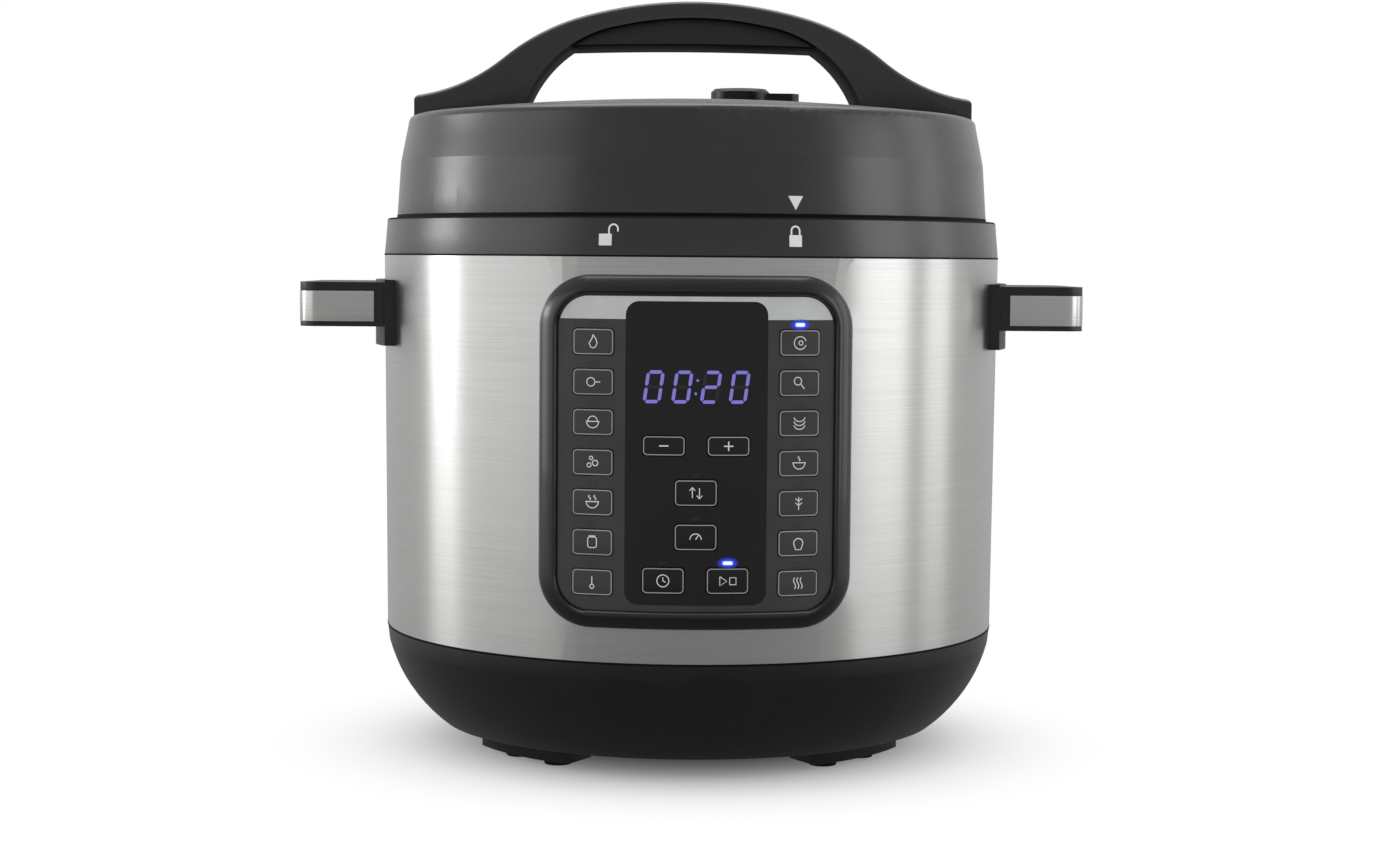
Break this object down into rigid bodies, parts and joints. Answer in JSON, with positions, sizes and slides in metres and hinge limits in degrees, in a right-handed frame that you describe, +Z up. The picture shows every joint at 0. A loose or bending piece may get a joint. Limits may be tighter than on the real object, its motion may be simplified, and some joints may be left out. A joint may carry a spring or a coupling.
{
  "type": "electric pressure cooker",
  "caption": "Free-standing electric pressure cooker with a domed twist-lock lid, arched handle, brushed steel band, key panel and lift-out pot.",
  "frame": {"origin": "on the axis of the body, in the plane of the feet", "axes": "+Z up along the body axis, -Y to the control panel, +X to the right side handle"},
  "size_m": [0.3744, 0.3309, 0.3594],
  "materials": {
    "base_plastic": "fine moulded texture",
    "foot_rubber": "matte",
    "screw_steel": "zinc",
    "brushed_band": "brushed round the body",
    "lid_plastic": "satin",
    "liner_metal": "satin",
    "bright_steel": "bright",
    "heater_metal": "cast",
    "board_green": "lacquered",
    "pot_coating": "dark non-stick",
    "seal_silicone": "silicone",
    "grip_plastic": "satin black",
    "float_red": "satin",
    "bezel_gloss": "gloss",
    "overlay_grey": "printed film",
    "window_dark": "smoked film",
    "light_lens": "smoked lens",
    "cup_clear": "clear",
    "pin_brass": "plated"
  },
  "bodies": {
    "cooker": {"base_housing": "base_plastic", "body_screws": "screw_steel", "bottom_cover": "base_plastic", "control_board": "board_green", "cup_holder": "base_plastic", "display_window": "window_dark", "foot_pads": "foot_rubber", "handle_trims": "brushed_band", "heating_element": "heater_metal", "heating_plate": "heater_metal", "indicator_lights": "light_lens", "inlet_pins": "pin_brass", "inner_liner": "liner_metal", "lock_ring": "bright_steel", "outer_shell": "brushed_band", "panel_bezel": "bezel_gloss", "panel_overlay": "overlay_grey", "power_board": "board_green", "power_inlet": "base_plastic", "sensor_bracket": "bright_steel", "sensor_spring": "bright_steel", "side_handle_left": "base_plastic", "side_handle_right": "base_plastic", "switch_carrier": "base_plastic", "top_collar": "lid_plastic"},
    "pot": {"inner_pot": "pot_coating"},
    "lid_seal": {"sealing_ring": "seal_silicone", "ring_rack": "bright_steel"},
    "lid": {"lid_cover": "lid_plastic", "lid_plate": "bright_steel", "lid_ring": "bright_steel", "lid_handle": "lid_plastic", "handle_grip": "grip_plastic", "lid_screws": "screw_steel", "valve_guides": "base_plastic", "anti_block_shield": "bright_steel"},
    "steam_valve": {"steam_valve": "grip_plastic"},
    "float": {"float_pin": "float_red"},
    "cup": {"condensation_cup": "cup_clear"},
    "sensor": {"sensor_cap": "heater_metal"},
    "key_bottom_left": {"key_bottom_left": "window_dark"},
    "key_bottom_right": {"key_bottom_right": "window_dark"},
    "key_left_1": {"key_left_1": "overlay_grey"},
    "key_left_2": {"key_left_2": "overlay_grey"},
    "key_left_3": {"key_left_3": "overlay_grey"},
    "key_left_4": {"key_left_4": "overlay_grey"},
    "key_left_5": {"key_left_5": "overlay_grey"},
    "key_left_6": {"key_left_6": "overlay_grey"},
    "key_left_7": {"key_left_7": "overlay_grey"},
    "key_middle_1": {"key_middle_1": "window_dark"},
    "key_middle_2": {"key_middle_2": "window_dark"},
    "key_minus": {"key_minus": "window_dark"},
    "key_plus": {"key_plus": "window_dark"},
    "key_right_1": {"key_right_1": "overlay_grey"},
    "key_right_2": {"key_right_2": "overlay_grey"},
    "key_right_3": {"key_right_3": "overlay_grey"},
    "key_right_4": {"key_right_4": "overlay_grey"},
    "key_right_5": {"key_right_5": "overlay_grey"},
    "key_right_6": {"key_right_6": "overlay_grey"},
    "key_right_7": {"key_right_7": "overlay_grey"}
  },
  "joints": [
    {"name": "lid_lift", "type": "slide", "parent": "cooker", "child": "lid_seal", "axis": [0, 0, 1], "range_m": [0, 0.45]},
    {"name": "lid_turn", "type": "hinge", "parent": "lid_seal", "child": "lid", "pos_m": [0, 0, 0.25], "axis": [0, 0, 1], "range_deg": [-33, 0]},
    {"name": "exhaust_valve_turn", "type": "hinge", "parent": "lid", "child": "steam_valve", "pos_m": [0.0256, 0.06, 0.31], "axis": [0, 0, 1], "range_deg": [0, 45]},
    {"name": "float_rise", "type": "slide", "parent": "lid", "child": "float", "axis": [0, 0, 1], "range_m": [0, 0.005]},
    {"name": "inner_pot_lift", "type": "slide", "parent": "cooker", "child": "pot", "axis": [0, 0, 1], "range_m": [0, 0.225]},
    {"name": "cup_pull", "type": "slide", "parent": "cooker", "child": "cup", "axis": [0, 1, 0], "range_m": [0, 0.06]},
    {"name": "sensor_press", "type": "slide", "parent": "cooker", "child": "sensor", "axis": [0, 0, 1], "range_m": [-0.0025, 0], "stiffness_N_per_m": 400, "springref_m": 0.002, "deforming": ["sensor_spring"]},
    {"name": "push_key_bottom_left", "type": "slide", "parent": "cooker", "child": "key_bottom_left", "axis": [0.0924, 0.9957, 0], "range_m": [0, 0.0006], "stiffness_N_per_m": 600},
    {"name": "push_key_bottom_right", "type": "slide", "parent": "cooker", "child": "key_bottom_right", "axis": [-0.0924, 0.9957, 0], "range_m": [0, 0.0006], "stiffness_N_per_m": 600},
    {"name": "push_key_left_1", "type": "slide", "parent": "cooker", "child": "key_left_1", "axis": [0.2957, 0.9553, 0], "range_m": [0, 0.0006], "stiffness_N_per_m": 600},
    {"name": "push_key_left_2", "type": "slide", "parent": "cooker", "child": "key_left_2", "axis": [0.2957, 0.9553, 0], "range_m": [0, 0.0006], "stiffness_N_per_m": 600},
    {"name": "push_key_left_3", "type": "slide", "parent": "cooker", "child": "key_left_3", "axis": [0.2957, 0.9553, 0], "range_m": [0, 0.0006], "stiffness_N_per_m": 600},
    {"name": "push_key_left_4", "type": "slide", "parent": "cooker", "child": "key_left_4", "axis": [0.2957, 0.9553, 0], "range_m": [0, 0.0006], "stiffness_N_per_m": 600},
    {"name": "push_key_left_5", "type": "slide", "parent": "cooker", "child": "key_left_5", "axis": [0.2957, 0.9553, 0], "range_m": [0, 0.0006], "stiffness_N_per_m": 600},
    {"name": "push_key_left_6", "type": "slide", "parent": "cooker", "child": "key_left_6", "axis": [0.2957, 0.9553, 0], "range_m": [0, 0.0006], "stiffness_N_per_m": 600},
    {"name": "push_key_left_7", "type": "slide", "parent": "cooker", "child": "key_left_7", "axis": [0.2957, 0.9553, 0], "range_m": [0, 0.0006], "stiffness_N_per_m": 600},
    {"name": "push_key_middle_1", "type": "slide", "parent": "cooker", "child": "key_middle_1", "axis": [0, 1, 0], "range_m": [0, 0.0006], "stiffness_N_per_m": 600},
    {"name": "push_key_middle_2", "type": "slide", "parent": "cooker", "child": "key_middle_2", "axis": [0, 1, 0], "range_m": [0, 0.0006], "stiffness_N_per_m": 600},
    {"name": "push_key_minus", "type": "slide", "parent": "cooker", "child": "key_minus", "axis": [0.0924, 0.9957, 0], "range_m": [0, 0.0006], "stiffness_N_per_m": 600},
    {"name": "push_key_plus", "type": "slide", "parent": "cooker", "child": "key_plus", "axis": [-0.0924, 0.9957, 0], "range_m": [0, 0.0006], "stiffness_N_per_m": 600},
    {"name": "push_key_right_1", "type": "slide", "parent": "cooker", "child": "key_right_1", "axis": [-0.2957, 0.9553, 0], "range_m": [0, 0.0006], "stiffness_N_per_m": 600},
    {"name": "push_key_right_2", "type": "slide", "parent": "cooker", "child": "key_right_2", "axis": [-0.2957, 0.9553, 0], "range_m": [0, 0.0006], "stiffness_N_per_m": 600},
    {"name": "push_key_right_3", "type": "slide", "parent": "cooker", "child": "key_right_3", "axis": [-0.2957, 0.9553, 0], "range_m": [0, 0.0006], "stiffness_N_per_m": 600},
    {"name": "push_key_right_4", "type": "slide", "parent": "cooker", "child": "key_right_4", "axis": [-0.2957, 0.9553, 0], "range_m": [0, 0.0006], "stiffness_N_per_m": 600},
    {"name": "push_key_right_5", "type": "slide", "parent": "cooker", "child": "key_right_5", "axis": [-0.2957, 0.9553, 0], "range_m": [0, 0.0006], "stiffness_N_per_m": 600},
    {"name": "push_key_right_6", "type": "slide", "parent": "cooker", "child": "key_right_6", "axis": [-0.2957, 0.9553, 0], "range_m": [0, 0.0006], "stiffness_N_per_m": 600},
    {"name": "push_key_right_7", "type": "slide", "parent": "cooker", "child": "key_right_7", "axis": [-0.2957, 0.9553, 0], "range_m": [0, 0.0006], "stiffness_N_per_m": 600}
  ],
  "couplings": [
    {"joint": "inner_pot_lift", "follows": "lid_lift", "ratio": 0.5}
  ]
}
